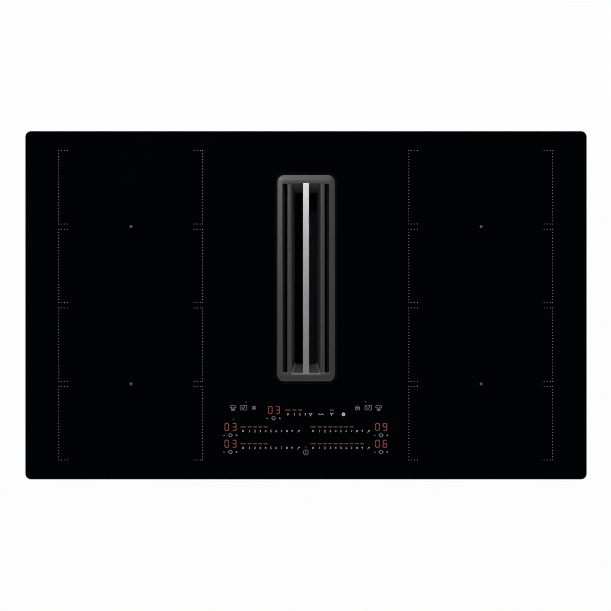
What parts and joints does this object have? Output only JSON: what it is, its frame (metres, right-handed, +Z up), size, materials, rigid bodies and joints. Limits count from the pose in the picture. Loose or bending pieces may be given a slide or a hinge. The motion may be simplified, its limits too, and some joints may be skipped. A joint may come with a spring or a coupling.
{
  "type": "downdraft induction cooktop",
  "caption": "Flush glass induction cooktop with flexible zones, touch controls and a central lift-out extractor grille over filters and a fan that blows into a flat duct.",
  "frame": {"origin": "middle of the glass plate, on the plane of the worktop that its seal rests on", "axes": "+X to the right seen from the user, +Y to the back, +Z up out of the worktop"},
  "size_m": [0.83, 0.515, 0.2158],
  "materials": {
    "glass_ceramic": "polished black, printed with dim grey marks",
    "seal_foam": "matt",
    "galvanised_sheet": "spangled, dull",
    "frame_steel": "matt black",
    "cavity_plastic": "fine grained",
    "housing_plastic": "fine grained",
    "tray_plastic": "fine grained",
    "grille_coating": "satin warm grey",
    "bar_aluminium": "brushed along its length",
    "filter_steel": "dark coated, pressed",
    "filter_mesh": "dark expanded mesh",
    "charcoal": "grainy",
    "wheel_plastic": "smooth",
    "spring_steel": "bright",
    "bronze": "sintered",
    "motor_laminations": "laminated, with red-brown windings",
    "zinc_casting": "cast",
    "buffer_rubber": "matt",
    "ferrite": "dull",
    "coil_copper": "lacquered strands",
    "plate_aluminium": "mill finish",
    "mica": "flaky",
    "circuit_board": "solder mask",
    "display": "dark red window",
    "terminal_plastic": "fine grained",
    "fan_plastic": "smooth",
    "sensor_ceramic": "matt white"
  },
  "bodies": {
    "cooktop": {"glass_top": "glass_ceramic", "rim_seal": "seal_foam", "support_frame": "frame_steel", "base_tray": "galvanised_sheet", "inlet_collar": "frame_steel", "filter_cavity": "cavity_plastic", "fan_upper_housing": "housing_plastic", "fan_inlet_ring": "housing_plastic", "fan_scroll_housing": "housing_plastic", "housing_clips": "spring_steel", "outlet_spigot": "housing_plastic", "motor_bearings": "bronze", "motor_stator": "motor_laminations", "motor_mount": "zinc_casting", "motor_dampers": "buffer_rubber", "ferrite_bars": "ferrite", "coil_plates": "plate_aluminium", "coil_sensors": "sensor_ceramic", "mica_sheets": "mica", "plate_springs": "spring_steel", "control_carrier": "terminal_plastic", "control_board": "circuit_board", "control_displays": "display", "terminal_cover": "terminal_plastic", "cable_grommet": "buffer_rubber", "terminal_block": "sensor_ceramic", "power_board_left": "circuit_board", "power_board_right": "circuit_board", "heatsink_left": "plate_aluminium", "heatsink_right": "plate_aluminium", "cooling_fan_housing_left": "fan_plastic", "cooling_fan_housing_right": "fan_plastic", "clamp_brackets": "galvanised_sheet", "clamp_screws": "spring_steel", "induction_coil_1_left": "coil_copper", "induction_coil_1_right": "coil_copper", "induction_coil_2_left": "coil_copper", "induction_coil_2_right": "coil_copper", "induction_coil_3_left": "coil_copper", "induction_coil_3_right": "coil_copper", "induction_coil_4_left": "coil_copper", "induction_coil_4_right": "coil_copper"},
    "cassette": {"filter_cassette": "cavity_plastic", "charcoal_filter_left": "charcoal", "charcoal_filter_right": "charcoal"},
    "grease_filter": {"grease_filter_frame": "filter_steel", "grease_filter_mesh": "filter_mesh"},
    "inlet_grille": {"grille_frame": "grille_coating", "grille_bar": "bar_aluminium", "grille_pads": "buffer_rubber"},
    "fan_rotor": {"fan_wheel": "wheel_plastic", "motor_shaft": "spring_steel"},
    "left_cooling_rotor": {"cooling_rotor_left": "fan_plastic"},
    "right_cooling_rotor": {"cooling_rotor_right": "fan_plastic"},
    "drip_tray": {"spill_tray": "tray_plastic", "spill_tray_seal": "seal_foam"},
    "right_rear_arm": {"clamp_arm_right_rear": "galvanised_sheet"},
    "right_front_arm": {"clamp_arm_right_front": "galvanised_sheet"},
    "left_rear_arm": {"clamp_arm_left_rear": "galvanised_sheet"},
    "left_front_arm": {"clamp_arm_left_front": "galvanised_sheet"}
  },
  "joints": [
    {"name": "cassette_lift", "type": "slide", "parent": "cooktop", "child": "cassette", "axis": [0, 0, 1], "range_m": [0, 0.17]},
    {"name": "grease_filter_lift", "type": "slide", "parent": "cassette", "child": "grease_filter", "axis": [0, 0, 1], "range_m": [0, 0.14]},
    {"name": "grille_lift", "type": "slide", "parent": "grease_filter", "child": "inlet_grille", "axis": [0, 0, 1], "range_m": [0, 0.06]},
    {"name": "fan_spin", "type": "hinge", "parent": "cooktop", "child": "fan_rotor", "pos_m": [0.185, -0.01, -0.15], "axis": [0, 0, 1], "continuous": true},
    {"name": "left_cooling_fan_spin", "type": "hinge", "parent": "cooktop", "child": "left_cooling_rotor", "pos_m": [-0.25875, -0.168, -0.035], "axis": [0, 0, 1], "continuous": true},
    {"name": "right_cooling_fan_spin", "type": "hinge", "parent": "cooktop", "child": "right_cooling_rotor", "pos_m": [0.25875, -0.168, -0.035], "axis": [0, 0, 1], "continuous": true},
    {"name": "spill_tray_drop", "type": "slide", "parent": "cooktop", "child": "drip_tray", "axis": [0, 0, -1], "range_m": [0, 0.05]},
    {"name": "right_rear_clamp_swing", "type": "hinge", "parent": "cooktop", "child": "right_rear_arm", "pos_m": [0.3985, 0.198, -0.04], "axis": [0, 0, 1], "range_deg": [0, 90]},
    {"name": "right_front_clamp_swing", "type": "hinge", "parent": "cooktop", "child": "right_front_arm", "pos_m": [0.3985, -0.198, -0.04], "axis": [0, 0, -1], "range_deg": [0, 90]},
    {"name": "left_rear_clamp_swing", "type": "hinge", "parent": "cooktop", "child": "left_rear_arm", "pos_m": [-0.3985, 0.198, -0.04], "axis": [0, 0, -1], "range_deg": [0, 90]},
    {"name": "left_front_clamp_swing", "type": "hinge", "parent": "cooktop", "child": "left_front_arm", "pos_m": [-0.3985, -0.198, -0.04], "axis": [0, 0, 1], "range_deg": [0, 90]}
  ]
}
